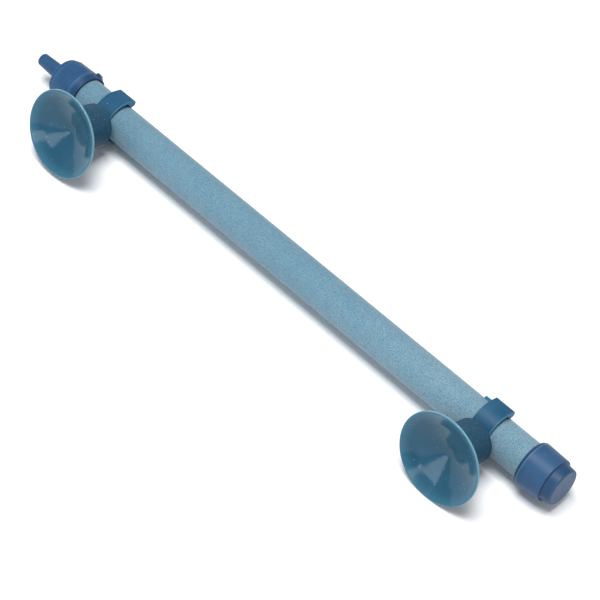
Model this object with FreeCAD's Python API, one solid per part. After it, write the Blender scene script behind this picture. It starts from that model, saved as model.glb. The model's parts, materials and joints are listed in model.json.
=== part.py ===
import FreeCAD, Part

import math
import os

from FreeCAD import Placement, Rotation, Vector

# Lengths are millimetres and angles are degrees.

# Porous tube, sintered and bored through
tube_length = 278.0
tube_radius = 8.0
tube_bore_radius = 4.8
tube_edge_break = 0.4

# What both caps share: a socket over the tube and a spigot inside it
socket_clearance = 0.24
socket_lead = 0.3
spigot_length = 8.0
spigot_wall = 1.3
spigot_rounding = 0.4
spigot_clearance = 0.28
mouth_wall = 0.95
mouth_edge_rounding = 0.2
mouth_taper_rounding = 0.5
barrel_mouth_radius = 9.75
barrel_floor = 1.7
shoulder_rounding = 0.45

# Inlet cap, with the nipple that an airline pushes onto
inlet_socket_depth = 11.9
inlet_mouth_taper = 3.5
inlet_shoulder_radius = 9.4
collar_radius = 8.7
collar_length = 2.5
collar_rounding = 0.9
collar_fillet = 0.1
nipple_seat_radius = 3.25
nipple_seat_length = 5.8
nipple_seat_fillet = 0.4
nipple_taper_length = 8.7
nipple_tip_radius = 2.85
nipple_tip_rounding = 0.8
air_bore_radius = 1.5
air_bore_rounding = 0.3
nub_back = 3.4
nub_length = 1.5
nub_foot = 0.3
nub_width = 2.4
nub_radius = 10.6
nub_rounding = 0.35
nub_angle = 34.0

# End cap, with a smaller closed neck; it sits a little askew, turned about its mouth
end_socket_depth = 10.3
end_mouth_taper = 1.2
end_shoulder_radius = 9.2
neck_radius = 8.25
neck_face_radius = 7.85
neck_length = 4.35
neck_rounding = 0.8
neck_wall = 2.0
neck_fillet = 0.3
neck_floor_rounding = 0.6
end_cap_skew = 1.3
end_cap_skew_way = 34.0

# Clip: a springy half ring, wider than the tube, whose ends thicken into jaws
clip_width = 9.4
clip_wall = 1.05
clip_inner_radius = 9.45
clip_clearance = 0.05
clip_edge_rounding = 0.2
band_offset = 0.8

# Jaw: lengths run back from the middle of the ring, depths inwards from its outside
jaw_length = 4.15
jaw_rounding = 1.1
jaw_chin_length = 3.7
jaw_chin_depth = 2.4
jaw_chin_rounding = 0.8
jaw_tip_length = 1.8
jaw_tip_depth = 3.35
jaw_tip_rounding = 0.45
jaw_root_length = 0.9
jaw_root_depth = 0.75
jaw_root_rounding = 0.6

# Runner left by the mould on one jaw of the end clip, lying along the tube
runner_length = 4.1
runner_root = 0.5
runner_height = 1.0
runner_width = 1.8
runner_angle = 121.0

# Peg on the clip, held in the hub of the suction cup
peg_pad_radius = 4.0
peg_radius = 2.2
peg_neck_length = 4.0
peg_head_radius = 3.1
peg_head_length = 3.2
peg_point_radius = 1.8
peg_pad_rounding = 0.2
peg_head_rounding = 0.3
peg_clearance = 0.05

# Suction cup, turned about its own axis
hub_face = 10.55
hub_radius = 8.9
hub_root_radius = 9.3
hub_rounding = 0.6
hub_fillet = 1.8
rim_distance = 31.5
rim_radius = 18.9
rim_thickness = 0.75
rim_lip = 0.8
rim_rounding = 0.25
cone_depth = 9.4
bell_radius = 13.2
bell_depth = 4.0
bell_rounding = 14.0
dish_depth = 7.0
dish_bend_radius = 12.6
dish_bend_depth = 2.7
dish_rounding = 16.0
dish_centre_radius = 1.6
dish_centre_rounding = 4.0

# How the cups stand on the tube as it lies on a table
cup_inset = 30.15
inlet_clip_turn = 3.8
inlet_peg_lean = 1.2

AXIS_X = Vector(1, 0, 0)
AXIS_Z = Vector(0, 0, 1)
CENTRE = Vector(0, 0, 0)

# Sizes that follow from the ones above
socket_radius = tube_radius + socket_clearance
spigot_radius = tube_bore_radius - spigot_clearance
spigot_bore = spigot_radius - spigot_wall
clip_outer_radius = clip_inner_radius + clip_wall
clip_centre = tube_radius + clip_clearance - clip_inner_radius
clip_front = clip_centre + clip_outer_radius
cup_spacing = tube_length - 2 * cup_inset


def rounded_face(corners):
    """Closed flat face from corners of (x, y, rounding radius)."""
    edges = []
    last_end = None
    first_start = None
    count = len(corners)
    for index, (x, y, radius) in enumerate(corners):
        here = Vector(x, y, 0)
        back = (Vector(*corners[index - 1][:2], 0) - here).normalize()
        ahead = (Vector(*corners[(index + 1) % count][:2], 0) - here).normalize()
        start = end = here
        if radius > 0:
            half = back.getAngle(ahead) / 2
            reach = radius / math.tan(half)
            start = here + back * reach
            end = here + ahead * reach
            centre = here + (back + ahead).normalize() * (radius / math.sin(half))
            middle = centre + (here - centre).normalize() * radius
        if last_end is not None:
            edges.append(Part.makeLine(last_end, start))
        else:
            first_start = start
        if radius > 0:
            edges.append(Part.Arc(start, middle, end).toShape())
        last_end = end
    edges.append(Part.makeLine(last_end, first_start))
    return Part.Face(Part.Wire(edges))


def turned(corners):
    """Solid of revolution about X of corners given as (x, radius, rounding)."""
    return rounded_face(corners).revolve(CENTRE, AXIS_X, 360)


def porous_tube():
    half = tube_length / 2
    return turned([
        (-half, tube_bore_radius, tube_edge_break),
        (half, tube_bore_radius, tube_edge_break),
        (half, tube_radius, tube_edge_break),
        (-half, tube_radius, tube_edge_break),
    ])


def socket_side(depth, taper, shoulder_radius):
    """Outline of a cap from the spigot's end round to the barrel's shoulder.

    Distances run outwards from the end of the tube, which is at 0.
    """
    return [
        (-spigot_length, spigot_bore, 0),
        (-spigot_length, spigot_radius, spigot_rounding),
        (0, spigot_radius, 0),
        (0, socket_radius, 0),
        (socket_lead - depth, socket_radius, 0),
        (-depth, socket_radius + socket_lead, 0),
        (-depth, socket_radius + mouth_wall, mouth_edge_rounding),
        (taper - depth, barrel_mouth_radius, mouth_taper_rounding),
        (barrel_floor, shoulder_radius, shoulder_rounding),
    ]


def inlet_cap():
    collar_end = barrel_floor + collar_length
    seat_end = collar_end + nipple_seat_length
    tip = seat_end + nipple_taper_length
    outline = socket_side(inlet_socket_depth, inlet_mouth_taper, inlet_shoulder_radius) + [
        (barrel_floor, collar_radius, collar_fillet),
        (collar_end, collar_radius, collar_rounding),
        (collar_end, nipple_seat_radius, nipple_seat_fillet),
        (seat_end, nipple_seat_radius, 0),
        (tip, nipple_tip_radius, nipple_tip_rounding),
        (tip, air_bore_radius, air_bore_rounding),
        (collar_end, air_bore_radius, 0),
        (barrel_floor, spigot_bore, 0),
    ]
    cap = turned(outline)
    cap.Placement = Placement(Vector(-tube_length / 2, 0, 0), Rotation(AXIS_Z, 180))
    return cap.fuse(moulding_nub()).removeSplitter()


def moulding_nub():
    """Lump that the mould leaves on the inlet cap, sloping down to the mouth."""
    mouth = inlet_socket_depth - tube_length / 2
    start = mouth - nub_back
    base_radius = socket_radius + mouth_wall / 2
    side = rounded_face([
        (start, base_radius, 0),
        (start, nub_radius, 0),
        (start + nub_length, nub_radius, 0),
        (mouth - nub_foot, socket_radius + mouth_wall, 0),
        (mouth - nub_foot, base_radius, 0),
    ])
    side.translate(Vector(0, 0, -nub_width / 2))
    nub = side.extrude(Vector(0, 0, nub_width))
    outer_edges = [edge for edge in nub.Edges if edge.BoundBox.YMin > nub_radius - 0.01]
    nub = nub.makeFillet(nub_rounding, outer_edges)
    nub.rotate(CENTRE, AXIS_X, nub_angle)
    return nub


def end_cap():
    face = barrel_floor + neck_length
    outline = socket_side(end_socket_depth, end_mouth_taper, end_shoulder_radius) + [
        (barrel_floor, neck_radius, neck_fillet),
        (face, neck_face_radius, neck_rounding),
        (face, 0, 0),
        (face - neck_wall, 0, 0),
        (face - neck_wall, spigot_bore, neck_floor_rounding),
    ]
    cap = turned(outline)
    skew_axis = Rotation(AXIS_X, end_cap_skew_way).multVec(AXIS_Z)
    cap.rotate(Vector(-end_socket_depth, 0, 0), skew_axis, end_cap_skew)
    gap = tube_radius * math.tan(math.radians(end_cap_skew))
    cap.translate(Vector(tube_length / 2 + gap, 0, 0))
    return cap


def jaw():
    """Thick rounded end of the half ring, with a tip that bears on the tube."""
    outline = rounded_face([
        (clip_centre, clip_outer_radius, 0),
        (clip_centre - jaw_length, clip_outer_radius, jaw_rounding),
        (clip_centre - jaw_chin_length, clip_outer_radius - jaw_chin_depth, jaw_chin_rounding),
        (clip_centre - jaw_tip_length, clip_outer_radius - jaw_tip_depth, 0),
        (clip_centre + jaw_root_length, clip_outer_radius - jaw_root_depth, 0),
    ])
    outline.translate(Vector(0, 0, -clip_width / 2))
    return outline.extrude(Vector(0, 0, clip_width))


def round_across(band, radius, centre, distance):
    """Round the jaws' edges that run across the band at a distance from a centre."""
    edges = []
    for edge in band.Edges:
        box = edge.BoundBox
        reach = math.hypot(box.Center.x - centre, box.Center.y)
        if (box.XLength < 0.01 and box.YLength < 0.01
                and box.Center.x < clip_centre + 3 and abs(reach - distance) < 0.02):
            edges.append(edge)
    return band.makeFillet(radius, edges) if edges else band


def clip_band():
    """Half ring that arches over the tube and grips it with two jaws."""
    def roller(radius, x, angle):
        middle = Vector(x, 0, -clip_width / 2)
        return Part.makeCylinder(radius, clip_width, middle, AXIS_Z, angle)

    ring = roller(clip_outer_radius, clip_centre, 180)
    ring.rotate(Vector(clip_centre, 0, 0), AXIS_Z, -90)
    ring = ring.cut(roller(clip_inner_radius, clip_centre, 360))
    upper_jaw = jaw()
    lower_jaw = upper_jaw.copy().rotate(CENTRE, AXIS_X, 180)
    band = ring.fuse([upper_jaw, lower_jaw]).removeSplitter()
    band = band.cut(roller(tube_radius + clip_clearance, 0, 360))
    band = round_across(band, jaw_root_rounding, clip_centre, clip_inner_radius)
    band = round_across(band, jaw_tip_rounding, 0, tube_radius + clip_clearance)
    side_edges = [edge for edge in band.Edges if edge.BoundBox.ZLength < 0.01]
    band = band.makeFillet(clip_edge_rounding, side_edges)
    band.translate(Vector(0, 0, band_offset))
    return band


def clip_peg():
    """Pad, neck and mushroom head that carry the suction cup."""
    neck_end = hub_face + peg_neck_length
    head_end = neck_end + peg_head_length
    return turned([
        (clip_front - clip_wall / 2, 0, 0),
        (head_end, 0, 0),
        (head_end, peg_point_radius, peg_head_rounding),
        (neck_end, peg_head_radius, peg_head_rounding),
        (neck_end, peg_radius, 0),
        (hub_face, peg_radius, 0),
        (hub_face, peg_pad_radius, peg_pad_rounding),
        (clip_front - clip_wall / 2, peg_pad_radius, 0),
    ])


def mould_runner():
    """Short strip beside the upper jaw, lying on the tube."""
    strip = Part.makeBox(runner_height, runner_width, runner_root + runner_length)
    band_side = band_offset + clip_width / 2
    strip.translate(Vector(tube_radius + clip_clearance, -runner_width / 2, band_side - runner_root))
    strip.rotate(CENTRE, AXIS_Z, runner_angle)
    return strip


def leaned(shape, lean):
    """Turn a piece made about +X so that it leans along the tube."""
    return shape.copy().rotate(CENTRE, Vector(0, 1, 0), lean)


def clip(peg_lean):
    return clip_band().fuse(leaned(clip_peg(), peg_lean)).removeSplitter()


def suction_cup():
    """Cup, hub and the blind hole that grips the peg, as one moulding."""
    root = rim_distance - cone_depth
    bell = rim_distance - bell_depth
    dish = rim_distance - dish_depth
    bend = rim_distance - dish_bend_depth
    hole_neck = hub_face + peg_neck_length - peg_clearance
    hole_end = hub_face + peg_neck_length + peg_head_length + peg_clearance
    return turned([
        (hub_face, peg_radius + peg_clearance, 0),
        (hub_face, hub_radius, hub_rounding),
        (root, hub_root_radius, hub_fillet),
        (bell, bell_radius, bell_rounding),
        (rim_distance - rim_thickness, rim_radius, rim_rounding),
        (rim_distance, rim_radius, rim_rounding),
        (rim_distance, rim_radius - rim_lip, rim_rounding),
        (bend, dish_bend_radius, dish_rounding),
        (dish, dish_centre_radius, dish_centre_rounding),
        (dish, 0, 0),
        (hole_end, 0, 0),
        (hole_end, peg_head_radius + peg_clearance, 0),
        (hole_neck, peg_head_radius + peg_clearance, 0),
        (hole_neck, peg_radius + peg_clearance, 0),
    ])


def on_tube(shape, x, lean):
    """Place a piece made about +X so that it points sideways and lean degrees up."""
    lean = math.radians(lean)
    outwards = Vector(0, -math.cos(lean), math.sin(lean))
    upwards = Vector(0, math.sin(lean), math.cos(lean))
    turn = Rotation(outwards, upwards, outwards.cross(upwards), "XYZ")
    placed = shape.copy()
    placed.Placement = Placement(Vector(x, 0, 0), turn).multiply(shape.Placement)
    return placed


def drop(shape, lean):
    """How far a leaning piece reaches below the tube's axis."""
    return -on_tube(shape, 0, lean).optimalBoundingBox(False, False).ZMin


def resting_leans(band, cup):
    """Leans of the inlet and end cups with the bands and one rim on the table."""
    low, high = 0.0, 45.0
    for _ in range(14):
        end_lean = (low + high) / 2
        inlet_lean = end_lean + inlet_clip_turn
        axis_height = max(drop(band, end_lean), drop(band, inlet_lean))
        if drop(cup, end_lean) > axis_height:
            low = end_lean
        else:
            high = end_lean
    return inlet_lean, end_lean


def build_all():
    cup = suction_cup()
    inlet_lean, end_lean = resting_leans(clip_band(), cup)
    print("leans", round(inlet_lean, 3), round(end_lean, 3))
    end_x = cup_spacing / 2
    inlet_x = -end_x - rim_distance * math.tan(math.radians(inlet_peg_lean))
    end_clip = clip(0).fuse(mould_runner()).removeSplitter()
    return {
        "porous_tube": porous_tube(),
        "inlet_cap": inlet_cap(),
        "end_cap": end_cap(),
        "inlet_clip": on_tube(clip(inlet_peg_lean), inlet_x, inlet_lean),
        "end_clip": on_tube(end_clip, end_x, end_lean),
        "inlet_suction_cup": on_tube(leaned(cup, inlet_peg_lean), inlet_x, inlet_lean),
        "end_suction_cup": on_tube(cup, end_x, end_lean),
    }


def main():
    pieces = build_all()
    box = Part.makeCompound(list(pieces.values())).optimalBoundingBox(False, False)
    to_base = Vector(-box.Center.x, -box.Center.y, -box.ZMin)
    os.makedirs("parts", exist_ok=True)
    for name, shape in pieces.items():
        shape.translate(to_base)
        print(name, "valid", shape.isValid(), "solids", len(shape.Solids),
              "volume", round(shape.Volume, 1))
        shape.exportStep("parts/" + name + ".step")
    print("tube axis in the frame", to_base)
    print("overall", round(box.XLength, 2), round(box.YLength, 2), round(box.ZLength, 2))


main()
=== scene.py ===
# %% [markdown]
# A bubble wall tube in Blender. The real thing is a porous air tube about 30 cm
# long, with a nippled cap at one end, a closed cap at the other, and two suction
# cups on spring clips that hold it to an aquarium's glass. The exact sizes come
# from a CAD model, which is loaded first and never changed. Everything that is
# made here is in the same place as the CAD. Blender's unit is the metre, so a size
# that is written in millimetres is multiplied by MM where it is used.

# %% Load the CAD frame
import json
import math

import bpy
from mathutils import Matrix, Vector


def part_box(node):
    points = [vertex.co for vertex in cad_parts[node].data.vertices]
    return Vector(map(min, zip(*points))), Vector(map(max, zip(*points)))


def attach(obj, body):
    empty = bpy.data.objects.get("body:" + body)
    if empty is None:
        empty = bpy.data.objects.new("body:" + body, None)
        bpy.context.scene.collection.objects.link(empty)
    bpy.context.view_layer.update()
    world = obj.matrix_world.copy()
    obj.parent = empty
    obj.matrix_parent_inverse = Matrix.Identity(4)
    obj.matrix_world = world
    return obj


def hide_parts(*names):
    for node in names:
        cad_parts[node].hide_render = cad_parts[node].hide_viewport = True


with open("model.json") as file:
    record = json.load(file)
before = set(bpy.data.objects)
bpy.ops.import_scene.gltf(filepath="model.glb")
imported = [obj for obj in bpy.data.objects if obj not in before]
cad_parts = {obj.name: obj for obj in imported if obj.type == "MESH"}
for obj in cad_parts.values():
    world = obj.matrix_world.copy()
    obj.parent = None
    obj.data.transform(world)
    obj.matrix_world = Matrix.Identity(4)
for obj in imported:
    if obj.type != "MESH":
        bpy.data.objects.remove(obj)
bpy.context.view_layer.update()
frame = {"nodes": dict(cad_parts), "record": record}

MM = 0.001
nodes = frame["nodes"]
record = frame["record"]
print("CAD pieces:", ", ".join(sorted(nodes)))

# %% [markdown]
# The camera comes first, so that every later step can be judged through it. It
# stands 0.87 m away with a long lens, looks down by some 47 degrees and is
# rolled a little, as a hand-held product shot often is.

# %% Camera
camera_place = (0.398, -0.43495, 0.64129)
camera_angles = (42.2645, -5.0321, 46.2724)
lens_mm, sensor_mm = 129.957, 36.0
nearest, farthest = 0.05, 20.0

camera_data = bpy.data.cameras.new("camera")
camera = bpy.data.objects.new("camera", camera_data)
bpy.context.scene.collection.objects.link(camera)
camera.location = camera_place
camera.rotation_euler = [math.radians(angle) for angle in camera_angles]
camera_data.sensor_width = sensor_mm
camera_data.lens = lens_mm
camera_data.clip_start, camera_data.clip_end = nearest, farthest
bpy.context.scene.camera = camera
print("camera at", tuple(round(v, 3) for v in camera.location))

# %% [markdown]
# A product shot on white needs a floor that is pale enough to go white and still
# takes a soft shadow. A big plane does that.

# %% Floor
floor_size = 8.0
floor_colour = (0.94, 0.945, 0.955, 1)


def set_input(node, name, value):
    """Give one input of a node its value."""
    node.inputs[name].default_value = value


def floor_material():
    material = bpy.data.materials.new("floor white")
    material.use_nodes = True
    shader = material.node_tree.nodes["Principled BSDF"]
    set_input(shader, "Base Color", floor_colour)
    set_input(shader, "Roughness", 0.9)
    set_input(shader, "Specular IOR Level", 0.1)
    return material


bpy.ops.mesh.primitive_plane_add(size=floor_size, location=(0, 0, 0))
floor = bpy.context.object
floor.name = "floor"
floor.data.materials.append(floor_material())
print("floor", floor_size, "m wide")

# %% [markdown]
# Two soft boxes and a dim, even sky light the scene. The big box hangs overhead
# and throws the soft shadow. The low one in front is weak and slightly blue, and
# it is there for the cups, because a glossy dish looks dead until it has
# something to reflect. The plain "Standard" view keeps the colours as they are
# chosen.

# %% World and lights
def soft_box(name, place, size, power, colour=(1, 1, 1)):
    """Rectangular area light that faces the middle of the part."""
    data = bpy.data.lights.new(name, "AREA")
    data.shape = "RECTANGLE"
    data.size, data.size_y = size
    data.energy = power
    data.color = colour
    light = bpy.data.objects.new(name, data)
    light.location = place
    light.rotation_euler = (-Vector(place)).to_track_quat("-Z", "Y").to_euler()
    bpy.context.scene.collection.objects.link(light)


world = bpy.data.worlds.new("studio")
bpy.context.scene.world = world
world.use_nodes = True
sky = world.node_tree.nodes["Background"]
set_input(sky, "Color", (0.96, 0.98, 1.0, 1))
set_input(sky, "Strength", 0.45)

soft_box("overhead", place=(0.0, -0.25, 1.6), size=(0.9, 0.7), power=27.5)
soft_box("low front", place=(-0.1, -1.2, 0.31), size=(0.7, 0.22), power=1.9,
         colour=(0.84, 0.94, 1.0))

view = bpy.context.scene.view_settings
view.view_transform = "Standard"
view.look = "None"

# %% [markdown]
# Finishes share a few effects, and each effect is a node group: it is built once
# and placed in every material with its own numbers. The first one is a noise
# that gives a fine grain at two scales. It puts out a tone for colours and a
# height for bumps.

# %% Grain group
def add(tree, kind, place=(0, 0), **settings):
    """Add a node and set its plain properties."""
    node = tree.nodes.new(kind)
    node.location = place
    for name, value in settings.items():
        setattr(node, name, value)
    return node


def new_group(name, numbers, outputs):
    """Node group that takes a position and named numbers, and puts out numbers."""
    group = bpy.data.node_groups.new(name, "ShaderNodeTree")
    sockets = group.interface
    sockets.new_socket("Position", in_out="INPUT", socket_type="NodeSocketVector")
    for label, value in numbers.items():
        number = sockets.new_socket(label, in_out="INPUT", socket_type="NodeSocketFloat")
        number.default_value = value
    for label in outputs:
        sockets.new_socket(label, in_out="OUTPUT", socket_type="NodeSocketFloat")
    ins = add(group, "NodeGroupInput", (-900, 0)).outputs
    outs = add(group, "NodeGroupOutput", (500, 0)).inputs
    return group, ins, outs


def grain_group():
    """Tone and height of a two-scale grain, both about 0.5 on average."""
    numbers = {"Coarse": 900.0, "Fine": 2600.0, "Fine share": 0.5}
    group, ins, outs = new_group("grain", numbers, ["Tone", "Height"])
    coarse = add(group, "ShaderNodeTexNoise", (-600, 150))
    fine = add(group, "ShaderNodeTexNoise", (-600, -150))
    set_input(coarse, "Detail", 3.0)
    set_input(fine, "Detail", 2.0)
    blend = add(group, "ShaderNodeMix", (-250, 0), data_type="FLOAT")
    links = group.links
    for noise, scale in ((coarse, "Coarse"), (fine, "Fine")):
        links.new(ins["Position"], noise.inputs["Vector"])
        links.new(ins[scale], noise.inputs["Scale"])
    links.new(ins["Fine share"], blend.inputs["Factor"])
    links.new(coarse.outputs["Fac"], blend.inputs["A"])
    links.new(fine.outputs["Fac"], blend.inputs["B"])
    links.new(coarse.outputs["Fac"], outs["Tone"])
    links.new(blend.outputs["Result"], outs["Height"])
    return group


grain = grain_group()
print("node group:", grain.name)

# %% [markdown]
# The second effect scatters specks, for dust, dirt and pale flecks. Space is cut
# into cells, each with a point and a random colour. A speck is what lies close
# to the point, and the colour decides which cells have one.

# %% Specks group
def feed(tree, socket, value):
    """Link a socket to another node's output, or give it a plain value."""
    if isinstance(value, bpy.types.NodeSocket):
        tree.links.new(value, socket)
    else:
        socket.default_value = value


def maths(tree, operation, values, place):
    """Math node; each value is a number or another node's output."""
    node = add(tree, "ShaderNodeMath", place, operation=operation)
    for socket, value in zip(node.inputs, values):
        feed(tree, socket, value)
    return node.outputs["Value"]


def specks_group():
    """Mask of small round specks, one in some of the cells."""
    numbers = {"Cells": 400.0, "Speck size": 0.12, "Share": 0.2}
    group, ins, outs = new_group("specks", numbers, ["Mask"])
    cells = add(group, "ShaderNodeTexVoronoi", (-600, 0))
    parts = add(group, "ShaderNodeSeparateColor", (-350, -100))
    links = group.links
    links.new(ins["Position"], cells.inputs["Vector"])
    links.new(ins["Cells"], cells.inputs["Scale"])
    links.new(cells.outputs["Color"], parts.inputs["Color"])
    close = maths(group, "LESS_THAN", (cells.outputs["Distance"], ins["Speck size"]), (-350, 150))
    rare = maths(group, "LESS_THAN", (parts.outputs["Red"], ins["Share"]), (-100, -100))
    links.new(maths(group, "MULTIPLY", (close, rare), (200, 0)), outs["Mask"])
    return group


specks = specks_group()
print("node groups:", [group.name for group in bpy.data.node_groups])

# %% [markdown]
# Colours are easiest to judge as they look on screen, from 0 to 255, but a shader
# wants linear light. One helper turns the one into the other, and another starts
# a material with its shader and its position input, which every finish needs.

# %% Start of a material
def screen_colour(red, green, blue):
    """Screen colour, 0 to 255, as linear light by the sRGB curve."""
    channels = []
    for value in (red, green, blue):
        value = value / 255
        channels.append(value / 12.92 if value <= 0.04045 else ((value + 0.055) / 1.055) ** 2.4)
    return (*channels, 1.0)


def start_material(name):
    """Material with its node tree, its shader and a position input."""
    material = bpy.data.materials.new(name)
    material.use_nodes = True
    tree = material.node_tree
    shader = tree.nodes["Principled BSDF"]
    shader.location = (400, 0)
    tree.nodes["Material Output"].location = (750, 0)
    position = add(tree, "ShaderNodeTexCoord", (-1300, 0)).outputs["Object"]
    return material, tree, shader, position


def dress(obj, material):
    """Give a piece one material."""
    obj.data.materials.clear()
    obj.data.materials.append(material)


print("screen grey 128 is", round(screen_colour(128, 128, 128)[0], 3), "in linear light")

# %% [markdown]
# A finish is layered as paint is: a base colour first, then one colour after the
# other blended over it by a mask. A few short helpers place these nodes, so that
# each finish further down reads as its list of layers.

# %% Layers of a finish
MIX_FACTOR, MIX_FIRST, MIX_SECOND, MIX_RESULT = 0, 6, 7, 2


def place_group(tree, group, position, place, **values):
    """Put a shared group into a tree; underscores in the names are spaces."""
    node = add(tree, "ShaderNodeGroup", place, node_tree=group)
    tree.links.new(position, node.inputs["Position"])
    for name, value in values.items():
        set_input(node, name.replace("_", " "), value)
    return node.outputs


def mix_colours(tree, factor, first, second, place):
    """Blend from the first colour to the second; each may be a colour or a socket."""
    mix = add(tree, "ShaderNodeMix", place, data_type="RGBA")
    feed(tree, mix.inputs[MIX_FIRST], first)
    feed(tree, mix.inputs[MIX_SECOND], second)
    feed(tree, mix.inputs[MIX_FACTOR], factor)
    return mix.outputs[MIX_RESULT]


def remap(tree, value, low, high, start, end, place):
    """Map a value from low..high to start..end, and hold it at both ends."""
    node = add(tree, "ShaderNodeMapRange", place)
    limits = {"From Min": low, "From Max": high, "To Min": start, "To Max": end}
    for name, number in limits.items():
        set_input(node, name, number)
    feed(tree, node.inputs["Value"], value)
    return node.outputs["Result"]


def along_x(tree, position, place):
    """How far along X a position is, in metres."""
    parts = add(tree, "ShaderNodeSeparateXYZ", place)
    tree.links.new(position, parts.inputs["Vector"])
    return parts.outputs["X"]


def bump(tree, height, strength, distance, shader, place):
    """Send a height through a Bump node to the shader's normal."""
    node = add(tree, "ShaderNodeBump", place)
    set_input(node, "Strength", strength)
    set_input(node, "Distance", distance)
    tree.links.new(height, node.inputs["Height"])
    tree.links.new(node.outputs["Normal"], shader.inputs["Normal"])


print("a colour mix takes sockets", MIX_FIRST, "and", MIX_SECOND)

# %% [markdown]
# The tube and the cups are turned shapes, so half an outline of each is enough.
# It is written as a few corners, and a helper puts short steps of an arc where a
# corner is rounded.

# %% Rounded outline
def rounded_outline(corners, step_degrees=12.0):
    """Points along corners of (place along the axis, radius, rounding), in metres."""
    points = []
    last = len(corners) - 1
    for index, (along, radius, rounding) in enumerate(corners):
        here = Vector((along * MM, radius * MM))
        if rounding == 0 or index in (0, last):
            points.append(here)
            continue
        back = (Vector(corners[index - 1][:2]) * MM - here).normalized()
        ahead = (Vector(corners[index + 1][:2]) * MM - here).normalized()
        half = back.angle(ahead) / 2
        reach = rounding * MM / math.tan(half)
        centre = here + (back + ahead).normalized() * (rounding * MM / math.sin(half))
        start, end = here + back * reach - centre, here + ahead * reach - centre
        sweep = start.angle_signed(end)
        steps = max(2, math.ceil(math.degrees(abs(sweep)) / step_degrees))
        for part in range(steps + 1):
            turn = Matrix.Rotation(-sweep * part / steps, 2)
            points.append(centre + turn @ start)
    return points


one_corner = rounded_outline([(0, 0, 0), (0, 10, 2), (10, 10, 0)])
print("a rounded right angle has", len(one_corner) - 2, "points")

# %% [markdown]
# The outline is then pulled along as by hand: one point is extruded from corner
# to corner, and the line is spun round its axis. The piece is made about Z at the
# origin, where its radius is easy to measure, and it is turned to its real place
# later.

# %% Spin and settle
CREASE_DEGREES = 35
SAME_POINT = 0.001 * MM


def spun_piece(name, outline, steps):
    """Pull a point along the outline, then spin the line about Z into a shell."""
    bpy.ops.object.select_all(action="DESELECT")
    bpy.ops.mesh.primitive_plane_add(size=MM)
    piece = bpy.context.object
    piece.name = piece.data.name = name
    bpy.ops.object.mode_set(mode="EDIT")
    bpy.ops.mesh.select_all(action="SELECT")
    bpy.ops.mesh.merge(type="CENTER")
    here = Vector((0, 0, 0))
    for index, (along, radius) in enumerate(outline):
        there = Vector((radius, 0, along))
        if index == 0:
            bpy.ops.transform.translate(value=there - here)
        else:
            bpy.ops.mesh.extrude_region_move(TRANSFORM_OT_translate={"value": there - here})
        here = there
    bpy.ops.mesh.select_all(action="SELECT")
    bpy.ops.mesh.spin(steps=steps, angle=math.tau, center=(0, 0, 0), axis=(0, 0, 1))
    bpy.ops.mesh.select_all(action="SELECT")
    bpy.ops.mesh.remove_doubles(threshold=SAME_POINT)
    bpy.ops.mesh.normals_make_consistent(inside=False)
    bpy.ops.object.mode_set(mode="OBJECT")
    bpy.ops.object.shade_smooth_by_angle(angle=math.radians(CREASE_DEGREES))
    return piece


def settle(piece, placement):
    """Move a piece to its place and leave its object at the origin, unturned."""
    bpy.ops.object.select_all(action="DESELECT")
    piece.select_set(True)
    bpy.context.view_layer.objects.active = piece
    piece.matrix_world = placement
    bpy.ops.object.transform_apply(location=True, rotation=True, scale=True)


def tell_size(piece):
    mesh = piece.data
    print(piece.name, len(mesh.vertices), "points", len(mesh.polygons), "faces")


print("edges sharper than", CREASE_DEGREES, "degrees stay crisp")

# %% [markdown]
# No moulded surface is perfect, and neither should its mesh be. A Displace
# modifier pushes a named group of points in and out by soft noise, and it is
# applied at once, so that the unevenness is part of the finished mesh.

# %% Unevenness
def rough_up(piece, group, spacing, depth, middle):
    """Push a group of points in and out along their normals by soft noise."""
    noise = bpy.data.textures.new(piece.name + " unevenness", "CLOUDS")
    noise.noise_scale = spacing
    noise.noise_depth = 2
    bpy.context.view_layer.objects.active = piece
    push = piece.modifiers.new("unevenness", "DISPLACE")
    push.texture = noise
    push.texture_coords = "LOCAL"
    push.strength = depth
    push.mid_level = middle
    push.vertex_group = group
    bpy.ops.object.modifier_apply(modifier=push.name)
    print(piece.name, "is uneven by", round(depth / MM, 2), "mm in all")


# %% [markdown]
# The tube is sintered from plastic grains, so its wall is rough and its edge is
# never quite straight. A plain cylinder looks too clean, and single grains would
# take millions of faces. So the outline of the bored wall is spun, the outside is
# cut into short rings, and noise then presses them in by up to a tenth of a
# millimetre, but not where the caps hide them. Finer grain stays in the material.

# %% Porous tube
tube_low, tube_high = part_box("porous_tube")
tube_centre = (tube_low + tube_high) / 2
tube_radius = (tube_high.z - tube_low.z) / 2 / MM
half_length = (tube_high.x - tube_low.x) / 2 / MM
bore_radius = 4.8
edge_break = 0.4
ring_step = 0.5
cap_reach = 11.0
outer_skin = 0.1


def tube_outline():
    """Closed outline of the bored wall, with its outside cut into short rings."""
    edge = half_length - edge_break
    rings = int(2 * half_length / ring_step)
    outside = [(-edge + 2 * edge * i / rings, tube_radius, 0) for i in range(rings + 1)]
    return rounded_outline([
        (-edge, bore_radius, 0),
        (-half_length, bore_radius + edge_break, 0),
        (-half_length, tube_radius - edge_break, 0),
        *outside,
        (half_length, tube_radius - edge_break, 0),
        (half_length, bore_radius + edge_break, 0),
        (edge, bore_radius, 0),
        (-edge, bore_radius, 0),
    ])


def open_wall(piece):
    """Points of the outer wall that no cap covers."""
    radius, reach = (tube_radius - outer_skin) * MM, (half_length - cap_reach) * MM
    return [point.index for point in piece.data.vertices
            if point.co.xy.length > radius and abs(point.co.z) < reach]


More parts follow.
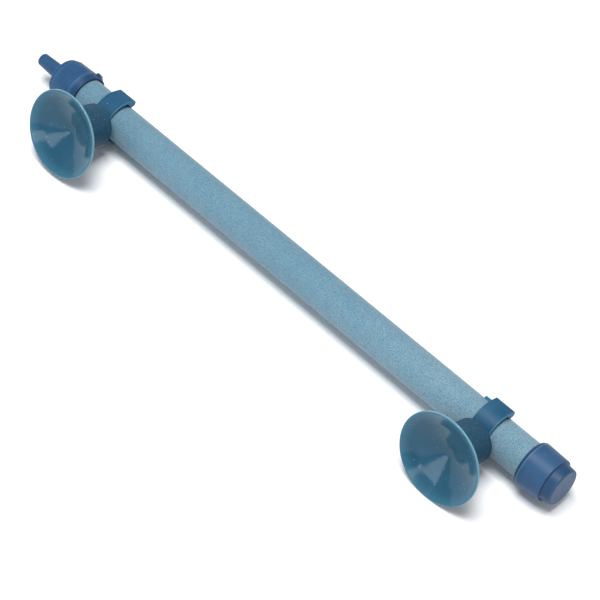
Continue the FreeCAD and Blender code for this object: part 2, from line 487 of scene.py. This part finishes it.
tube = spun_piece("sintered_tube", tube_outline(), steps=96)
tube.vertex_groups.new(name="between the caps").add(open_wall(tube), 1.0, "REPLACE")
rough_up(tube, "between the caps", spacing=1.1 * MM, depth=0.14 * MM, middle=0.75)
settle(tube, Matrix.Translation(tube_centre) @ Matrix.Rotation(math.radians(90), 4, "Y"))
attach(tube, "root")
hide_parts("porous_tube")
tell_size(tube)

# %% [markdown]
# Close up, the wall is a mass of grains with pits in shade between them, and from
# afar it is an even, dusty blue. A picture of it could be wrapped round, but
# noise in space needs no seam. Slow clouds vary the blue, which pales towards the
# end cap. Low spots of the fine grain are darkened as painted shade in the pits,
# and a few flecks and bits of dirt lie on top. A little sheen softens the edges,
# as on any dusty surface.

# %% Tube finish
fresh_blues = screen_colour(101, 138, 156), screen_colour(110, 144, 160)
pale_blues = screen_colour(116, 150, 166), screen_colour(126, 156, 169)
# painted shade: the colour of the pits between grains, where shade falls
pit_shade_blue = screen_colour(68, 106, 130)
fleck_blue = screen_colour(124, 160, 176)
dirt_grey = screen_colour(62, 80, 92)
paling_start, paling_end = 0.02, 0.1


def tube_material():
    material, tree, shader, position = start_material("sintered tube")
    grit = place_group(tree, grain, position, (-1000, 250),
                       Coarse=2300.0, Fine=4200.0, Fine_share=0.4)
    cloud = place_group(tree, grain, position, (-1000, -50),
                        Coarse=120.0, Fine=420.0, Fine_share=0.5)
    dirt = place_group(tree, specks, position, (-1000, -350),
                       Cells=170.0, Speck_size=0.055, Share=0.1)
    flecks = place_group(tree, specks, position, (-1000, -550),
                         Cells=420.0, Speck_size=0.13, Share=0.08)
    clouds = remap(tree, cloud["Height"], 0.38, 0.62, 0, 1, (-700, -50))
    paling = remap(tree, along_x(tree, position, (-1000, 450)),
                   paling_start, paling_end, 0, 1, (-700, 450))
    # painted shade: low spots of the fine grain are darkened as shade in the pits
    pit_shade = remap(tree, grit["Height"], 0.42, 0.52, 0.8, 0, (-700, 250))
    fresh = mix_colours(tree, clouds, *fresh_blues, (-450, 0))
    pale = mix_colours(tree, clouds, *pale_blues, (-450, -250))
    colour = mix_colours(tree, paling, fresh, pale, (-300, -100))
    colour = mix_colours(tree, pit_shade, colour, pit_shade_blue, (-150, 150))
    colour = mix_colours(tree, flecks["Mask"], colour, fleck_blue, (0, 100))
    colour = mix_colours(tree, dirt["Mask"], colour, dirt_grey, (130, 50))
    tree.links.new(colour, shader.inputs["Base Color"])
    set_input(shader, "Roughness", 0.85)
    set_input(shader, "Specular IOR Level", 0.25)
    set_input(shader, "Sheen Weight", 0.3)
    set_input(shader, "Sheen Roughness", 0.5)
    bump(tree, grit["Height"], 0.5, 0.3 * MM, shader, (150, -250))
    return material


dress(tube, tube_material())
print("tube finish has", len(tube.active_material.node_tree.nodes), "nodes")

# %% [markdown]
# A suction cup is one soft moulding: a round hub with a blind hole for the clip's
# peg, and a thin bell with a dish in front. It is spun like the tube. Its outline
# starts at the bottom of the hole, goes round the hub and the bell to the lip and
# ends in the middle of the dish, so the shell is closed. Lengths are millimetres,
# and depths are measured back from the rim.

# %% Outline of a cup
rim_radius, rim_thickness, rim_rounding, lip_width = 18.9, 0.75, 0.25, 0.8
bell_radius, bell_depth, bell_rounding = 13.2, 4.0, 14.0
hub_root_radius, hub_root_depth, hub_fillet = 9.3, 9.4, 1.8
hub_radius, hub_depth, hub_rounding = 8.9, 20.95, 0.6
hole_radius, hole_step_depth = 2.25, 17.0
hole_head_radius, hole_floor_depth = 3.15, 13.7
dish_bend_radius, dish_bend_depth, dish_rounding = 12.6, 2.7, 16.0
dish_centre_radius, dish_depth, dish_centre_rounding = 1.6, 7.0, 4.0
longest_step = 0.9


def cup_outline():
    """Outline with 0 at the rim and the hub behind it."""
    return rounded_outline([
        (-hole_floor_depth, 0, 0),
        (-hole_floor_depth, hole_head_radius, 0),
        (-hole_step_depth, hole_head_radius, 0),
        (-hole_step_depth, hole_radius, 0),
        (-hub_depth, hole_radius, 0),
        (-hub_depth, hub_radius, hub_rounding),
        (-hub_root_depth, hub_root_radius, hub_fillet),
        (-bell_depth, bell_radius, bell_rounding),
        (-rim_thickness, rim_radius, rim_rounding),
        (0, rim_radius, rim_rounding),
        (0, rim_radius - lip_width, rim_rounding),
        (-dish_bend_depth, dish_bend_radius, dish_rounding),
        (-dish_depth, dish_centre_radius, dish_centre_rounding),
        (-dish_depth, 0, 0),
    ], step_degrees=1.5)


def filled(outline, longest):
    """Cut the outline's long runs into short ones."""
    points = [outline[0]]
    for here in outline[1:]:
        start = points[-1]
        parts = max(1, math.ceil((here - start).length / (longest * MM)))
        points += [start.lerp(here, (i + 1) / parts) for i in range(parts)]
    return points


cup_line = filled(cup_outline(), longest_step)
print("the outline of a cup has", len(cup_line), "points")

# %% [markdown]
# The thin lip and the solid hub look different, so each point of the mesh stores
# how near the lip it is and how far up the hub, for the material to read. A group
# holds the dish, and a little noise on it bends its reflections, as soft rubber
# does. Both cups are the same moulding, each turned to face along its mount.

# %% Suction cups
lip_start = 14.0  # radius from which the bell pales towards its lip
hub_blend = 3.0  # depth over which the hub's dull finish sets in
beside_hole = 3.4  # radius beyond the wall of the peg's hole
dish_reach, dish_fade = 17.0, 4.0  # radius of the uneven dish, and how far it fades
cone_depth, cone_slope = 7.1, 0.3  # cone that parts the dish from the bell's back


def clamp(value):
    """Keep a value between 0 and 1."""
    return min(1.0, max(0.0, value))


def mark_zones(cup):
    """Store the lip and the hub as attributes, and the dish as a group."""
    lip = cup.data.attributes.new("lip", "FLOAT", "POINT")
    hub = cup.data.attributes.new("hub", "FLOAT", "POINT")
    dish = cup.vertex_groups.new(name="dish")
    for point, lip_value, hub_value in zip(cup.data.vertices, lip.data, hub.data):
        radius, depth = point.co.xy.length / MM, -point.co.z / MM
        lip_value.value = clamp((radius - lip_start) / (rim_radius - lip_start))
        hub_value.value = clamp((depth - dish_depth) / hub_blend) if radius > beside_hole else 0.0
        if radius < dish_reach and depth < cone_depth - radius * cone_slope:
            dish.add([point.index], clamp((dish_reach - radius) / dish_fade), "REPLACE")


def facing(mount_name):
    """Placement that puts a piece's +Z along a mount's axis, at the mount."""
    mount = next(m for m in record["mounts"] if m["name"] == mount_name)
    turn = Vector(mount["axis"]).to_track_quat("Z", "Y").to_matrix().to_4x4()
    return Matrix.Translation(Vector(mount["pos_m"])) @ turn


def suction_cup(name, node, mount_name):
    cup = spun_piece(name, cup_line, steps=144)
    mark_zones(cup)
    settle(cup, facing(mount_name))
    rough_up(cup, "dish", spacing=13 * MM, depth=0.14 * MM, middle=0.5)
    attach(cup, "root")
    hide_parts(node)
    tell_size(cup)
    return cup


cups = [suction_cup("inlet_cup_rubber", "inlet_suction_cup", "inlet_cup_face"),
        suction_cup("end_cup_rubber", "end_suction_cup", "end_cup_face")]

# %% [markdown]
# The rubber is glossy in the dish and dull on the hub, and light shines through
# the bell where it gets thin. Real translucency is slow and noisy, so the glow is
# painted: the colour pales towards the lip, with a bright line at its edge. The
# hub has a fine bloom like powder, and dust lies everywhere.

# %% Cup finish
rubber_blues = screen_colour(31, 77, 100), screen_colour(37, 83, 106)
hub_blue = screen_colour(27, 67, 90)
glow_blue = screen_colour(84, 144, 168)
# painted glow: the bright line at the lip's edge, as light through thin rubber
lip_glow_blue = screen_colour(128, 176, 190)
powder_blue = screen_colour(80, 118, 136)
pale_dust = screen_colour(150, 178, 188)
dish_roughness, hub_roughness = 0.1, 0.6


def stored(tree, name, place):
    """Value that each point of the mesh stores under this name."""
    return add(tree, "ShaderNodeAttribute", place, attribute_name=name).outputs["Fac"]


def rubber_material():
    material, tree, shader, position = start_material("cup rubber")
    lip = stored(tree, "lip", (-1000, 300))
    hub = stored(tree, "hub", (-1000, 100))
    grit = place_group(tree, grain, position, (-1000, -50),
                       Coarse=120.0, Fine=1800.0, Fine_share=0.3)
    dust = place_group(tree, specks, position, (-1000, -250),
                       Cells=560.0, Speck_size=0.075, Share=0.6)
    powder = place_group(tree, specks, position, (-1000, 500),
                         Cells=1500.0, Speck_size=0.35, Share=0.35)
    clouds = remap(tree, grit["Tone"], 0.35, 0.65, 0, 1, (-750, -50))
    glow = remap(tree, lip, 0.15, 1.0, 0, 0.3, (-500, 400))
    # painted glow: a bright line right at the lip
    edge = remap(tree, lip, 0.93, 0.99, 0, 0.6, (-500, 600))
    on_hub = remap(tree, hub, 0, 1, 0, 0.35, (-800, 350))
    bloom = maths(tree, "MULTIPLY", (powder["Mask"], on_hub), (-750, 500))
    colour = mix_colours(tree, clouds, *rubber_blues, (-500, 100))
    colour = mix_colours(tree, hub, colour, hub_blue, (-350, 200))
    colour = mix_colours(tree, glow, colour, glow_blue, (-200, 300))
    colour = mix_colours(tree, edge, colour, lip_glow_blue, (-50, 350))
    colour = mix_colours(tree, bloom, colour, powder_blue, (0, 500))
    colour = mix_colours(tree, dust["Mask"], colour, pale_dust, (100, 200))
    tree.links.new(colour, shader.inputs["Base Color"])
    roughness = remap(tree, hub, 0, 1, dish_roughness, hub_roughness, (-300, -150))
    tree.links.new(roughness, shader.inputs["Roughness"])
    set_input(shader, "Specular IOR Level", 0.28)
    depth = remap(tree, hub, 0, 1, 0.1, 1.0, (-300, -350))
    relief = maths(tree, "MULTIPLY", (grit["Height"], depth), (-100, -250))
    bump(tree, relief, 0.5, 0.3 * MM, shader, (150, -250))
    return material


cup_rubber = rubber_material()
for cup in cups:
    dress(cup, cup_rubber)
print("cup finish has", len(cup_rubber.node_tree.nodes), "nodes")

# %% [markdown]
# The caps and clips are injection moulded, and their CAD shapes are right as they
# are. They keep their meshes and get a satin plastic: two near blues in slow
# clouds, a few specks of dust and a very fine grain. Their edges and mouths run
# across X, so a painted highlight line or a band of painted shade on them is a
# slice of X, and no face has to be picked out by hand.

# %% Moulded plastic
plastic_dust = screen_colour(165, 180, 195)
smoothest, roughest = 0.37, 0.47


def slice_mask(tree, x, slices, corner):
    """Mask of slices across the part; each is (middle, thickness) along X in mm."""
    column, row = corner
    mask = None
    for middle, thickness in slices:
        inside = maths(tree, "COMPARE", (x, middle * MM, thickness / 2 * MM), (column, row))
        if mask is None:
            mask = inside
        else:
            mask = maths(tree, "MAXIMUM", (mask, inside), (column + 200, row))
        row -= 180
    return mask


def moulded_plastic(name, blues, marks):
    """Satin plastic; marks of painted shade, highlight or glow, each (slices, colour, strength),
    are laid over it in turn.
    """
    material, tree, shader, position = start_material(name)
    cloud = place_group(tree, grain, position, (-1000, 100),
                        Coarse=140.0, Fine=2200.0, Fine_share=0.4)
    dust = place_group(tree, specks, position, (-1000, -250),
                       Cells=380.0, Speck_size=0.07, Share=0.16)
    clouds = remap(tree, cloud["Tone"], 0.35, 0.65, 0, 1, (-700, 100))
    colour = mix_colours(tree, clouds, *blues, (-500, 150))
    x = along_x(tree, position, (-1400, 500))
    for index, (slices, tint, strength) in enumerate(marks):
        mask = slice_mask(tree, x, slices, (-1000, 500 + 700 * index))
        weight = remap(tree, mask, 0, 1, 0, strength, (-500, 400 + 200 * index))
        colour = mix_colours(tree, weight, colour, tint, (-300 + 150 * index, 300))
    colour = mix_colours(tree, dust["Mask"], colour, plastic_dust, (150, 150))
    tree.links.new(colour, shader.inputs["Base Color"])
    roughness = remap(tree, cloud["Tone"], 0.3, 0.7, smoothest, roughest, (-400, -150))
    tree.links.new(roughness, shader.inputs["Roughness"])
    set_input(shader, "Specular IOR Level", 0.2)
    bump(tree, cloud["Height"], 0.06, 0.2 * MM, shader, (100, -250))
    return material


print("plastic roughness from", smoothest, "to", roughest)

# %% [markdown]
# The mouths of the caps and the end cap's neck are painted darker, as painted
# shade where little light gets under their edges. Thin pale lines of painted
# highlight run round where the mouths stop tapering and at the inlet cap's
# shoulder, where a real moulding catches the light. Places along X are measured
# from the mouth of each cap. The end cap sits slightly askew, so the middle of its
# mouth is a little past the start of its box.

# %% Caps
askew = 0.2
inlet_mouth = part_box("inlet_cap")[1].x / MM
end_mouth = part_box("end_cap")[0].x / MM + askew

# Each pair is the distance of a slice's middle from the mouth, and its thickness.
inlet_mouth_shade, inlet_taper_highlight, inlet_shoulder_highlight = (1.2, 2.4), (3.6, 0.35), (13.45, 0.5)
end_mouth_shade, end_taper_highlight, end_neck_shade = (0.55, 1.5), (1.45, 0.4), (13.85, 3.7)


def from_inlet_mouth(distance, thickness):
    return inlet_mouth - distance, thickness


def from_end_mouth(distance, thickness):
    return end_mouth + distance, thickness


# painted shade at the caps' mouths and at the end cap's neck
painted_shade_slices = [from_inlet_mouth(*inlet_mouth_shade), from_end_mouth(*end_mouth_shade),
               from_end_mouth(*end_neck_shade)]
# painted highlight lines where the mouths stop tapering and at the inlet shoulder
painted_highlight_slices = [from_inlet_mouth(*inlet_taper_highlight), from_inlet_mouth(*inlet_shoulder_highlight),
               from_end_mouth(*end_taper_highlight)]
cap_marks = [(painted_shade_slices, screen_colour(20, 48, 82), 0.5),
             (painted_highlight_slices, screen_colour(110, 140, 165), 0.35)]
inlet_blues = screen_colour(38, 74, 111), screen_colour(44, 82, 119)
end_blues = screen_colour(43, 77, 112), screen_colour(49, 84, 119)
inlet_plastic = moulded_plastic("inlet cap plastic", inlet_blues, cap_marks)
end_plastic = moulded_plastic("end cap plastic", end_blues, cap_marks)
dress(nodes["inlet_cap"], inlet_plastic)
dress(nodes["end_cap"], end_plastic)
print("cap mouths at", round(inlet_mouth, 2), "and", round(end_mouth, 2), "mm")

# %% [markdown]
# The clips are a little greener. Light gathers in the edge of their thin bands
# that faces the end cap, so it is drawn as a painted highlight line, and the bit
# of runner on the end clip is thin enough to glow, so its glow is painted as a
# brighter blue. A clip is found through its cup's mount, but the inlet cup leans
# along the tube, so its clip is a little nearer the inlet.

# %% Clips
lean_offset = 0.66  # from the inlet cup's face to its clip, along X
band_edge = 3.75  # from the middle of a clip to the edge of its band
runner_middle, runner_span = 8.0, 4.8  # distance from the end clip's middle, and length

cup_faces = ("inlet_cup_face", "end_cup_face")
cup_places = [m["pos_m"][0] / MM for m in record["mounts"] if m["name"] in cup_faces]
inlet_clip_x, end_clip_x = min(cup_places) - lean_offset, max(cup_places)
# painted highlight along the edge of each band that faces the end cap
edge_highlight_slices = [(inlet_clip_x + band_edge, 0.6), (end_clip_x + band_edge, 0.6)]
# painted glow: the thin runner on the end clip is drawn brighter, as if lit through
runner_glow_slices = [(end_clip_x - runner_middle, runner_span)]
clip_marks = [(edge_highlight_slices, screen_colour(62, 118, 145), 0.7),
              (runner_glow_slices, screen_colour(46, 118, 158), 0.9)]
clip_blues = screen_colour(31, 77, 108), screen_colour(37, 85, 116)
clip_plastic = moulded_plastic("clip plastic", clip_blues, clip_marks)
for name in ("inlet_clip", "end_clip"):
    dress(nodes[name], clip_plastic)
